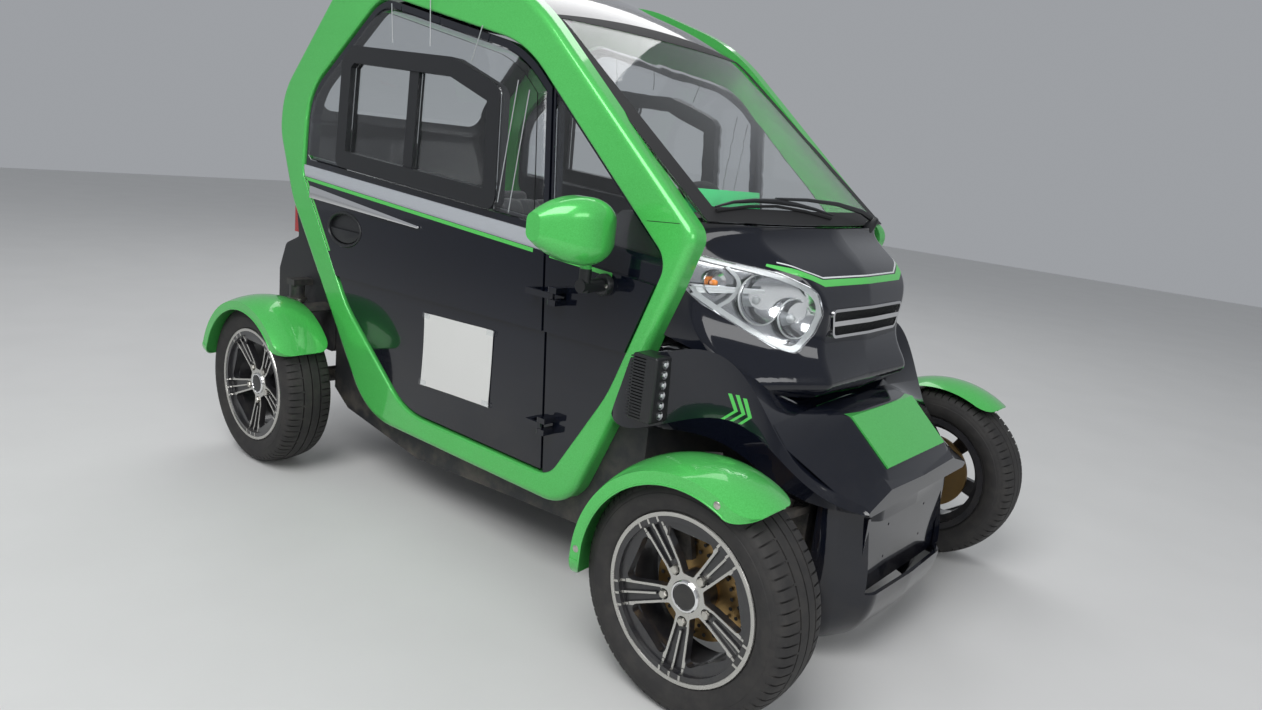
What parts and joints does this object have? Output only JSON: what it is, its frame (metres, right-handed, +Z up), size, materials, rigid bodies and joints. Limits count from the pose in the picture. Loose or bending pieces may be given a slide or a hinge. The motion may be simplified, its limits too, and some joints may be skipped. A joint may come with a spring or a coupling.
{
  "type": "four-wheeled electric velomobile",
  "caption": "Narrow closed electric microcar with green side hoops round two side doors, exposed wheels under mudguards, a steered front axle and a black nose and tail.",
  "frame": {"origin": "on the floor under the middle of the vehicle, halfway between its two sides and its two ends", "axes": "+X to the left of the vehicle, -Y ahead, +Z up"},
  "size_m": [1.46, 2.2941, 1.6105],
  "materials": {
    "green_paint": "metallic bright green paint",
    "black_paint": "gloss black paint",
    "silver_trim": "satin silver",
    "clear_pane": "clear",
    "lamp_lens": "clear lens",
    "black_frame": "satin black",
    "dark_plastic": "grained dark grey",
    "chrome_trim": "polished",
    "seat_fabric": "dark grey cloth",
    "wheel_rubber": "black grip",
    "tyre_rubber": "black rubber",
    "rim_metal": "machined",
    "disc_steel": "bare steel",
    "frame_steel": "black coated"
  },
  "bodies": {
    "root": {"battery": "dark_plastic", "bonnet": "black_paint", "dashboard": "dark_plastic", "floor_tub": "dark_plastic", "front_side_panels": "black_paint", "front_subframe": "frame_steel", "front_suspension": "frame_steel", "grille": "chrome_trim", "headlamps": "clear_pane", "mirrors": "green_paint", "nose_fairing": "black_paint", "nose_hatch": "green_paint", "quarter_glass": "clear_pane", "rear_axle": "frame_steel", "rear_mudguards": "green_paint", "rear_subframe": "frame_steel", "rear_suspension": "frame_steel", "rear_window": "clear_pane", "roof_panel": "black_paint", "seats": "seat_fabric", "side_hoops": "green_paint", "tail_body": "dark_plastic", "tail_lamps": "lamp_lens", "tail_panel": "black_paint", "windscreen": "clear_pane", "work_lamps": "black_frame"},
    "door_right": {"door_belt_strip_right": "silver_trim", "door_pane_right": "clear_pane", "door_panel_right": "black_paint", "slider_frame_right": "black_frame", "slider_panes_right": "clear_pane"},
    "steered_right": {"knuckle_right": "frame_steel", "front_mudguard_right": "green_paint"},
    "wheel_front_right": {"tyre_front_right": "tyre_rubber", "rim_front_right": "rim_metal", "brake_disc_right": "disc_steel"},
    "wheel_rear_right": {"tyre_rear_right": "tyre_rubber", "rim_rear_right": "rim_metal"},
    "door_left": {"door_belt_strip_left": "silver_trim", "door_pane_left": "clear_pane", "door_panel_left": "black_paint", "slider_frame_left": "black_frame", "slider_panes_left": "clear_pane"},
    "steered_left": {"knuckle_left": "frame_steel", "front_mudguard_left": "green_paint"},
    "wheel_front_left": {"tyre_front_left": "tyre_rubber", "rim_front_left": "rim_metal", "brake_disc_left": "disc_steel"},
    "wheel_rear_left": {"tyre_rear_left": "tyre_rubber", "rim_rear_left": "rim_metal"},
    "steering": {"steering_wheel": "wheel_rubber"}
  },
  "joints": [
    {"name": "steer_right", "type": "hinge", "parent": "root", "child": "steered_right", "pos_m": [-0.545, -0.88909, 0.258], "axis": [0, 0, 1], "range_deg": [-30, 30]},
    {"name": "wheel_front_right_spin", "type": "hinge", "parent": "steered_right", "child": "wheel_front_right", "pos_m": [-0.623, -0.88909, 0.258], "axis": [1, 0, 0], "continuous": true},
    {"name": "wheel_rear_right_spin", "type": "hinge", "parent": "root", "child": "wheel_rear_right", "pos_m": [-0.623, 0.86091, 0.258], "axis": [1, 0, 0], "continuous": true},
    {"name": "door_right_swing", "type": "hinge", "parent": "root", "child": "door_right", "pos_m": [-0.532, -0.29909, 0.6], "axis": [0, 0, 1], "range_deg": [0, 70]},
    {"name": "steer_left", "type": "hinge", "parent": "root", "child": "steered_left", "pos_m": [0.545, -0.88909, 0.258], "axis": [0, 0, 1], "range_deg": [-30, 30]},
    {"name": "wheel_front_left_spin", "type": "hinge", "parent": "steered_left", "child": "wheel_front_left", "pos_m": [0.623, -0.88909, 0.258], "axis": [1, 0, 0], "continuous": true},
    {"name": "wheel_rear_left_spin", "type": "hinge", "parent": "root", "child": "wheel_rear_left", "pos_m": [0.623, 0.86091, 0.258], "axis": [1, 0, 0], "continuous": true},
    {"name": "door_left_swing", "type": "hinge", "parent": "root", "child": "door_left", "pos_m": [0.532, -0.29909, 0.6], "axis": [0, 0, -1], "range_deg": [0, 70]},
    {"name": "steering_wheel_turn", "type": "hinge", "parent": "root", "child": "steering", "pos_m": [0, -0.24909, 0.9], "axis": [0, 0.8829, 0.4695], "range_deg": [-275, 275]}
  ],
  "couplings": [
    {"joint": "steer_left", "follows": "steer_right", "ratio": 1},
    {"joint": "steering_wheel_turn", "follows": "steer_right", "ratio": 9}
  ]
}
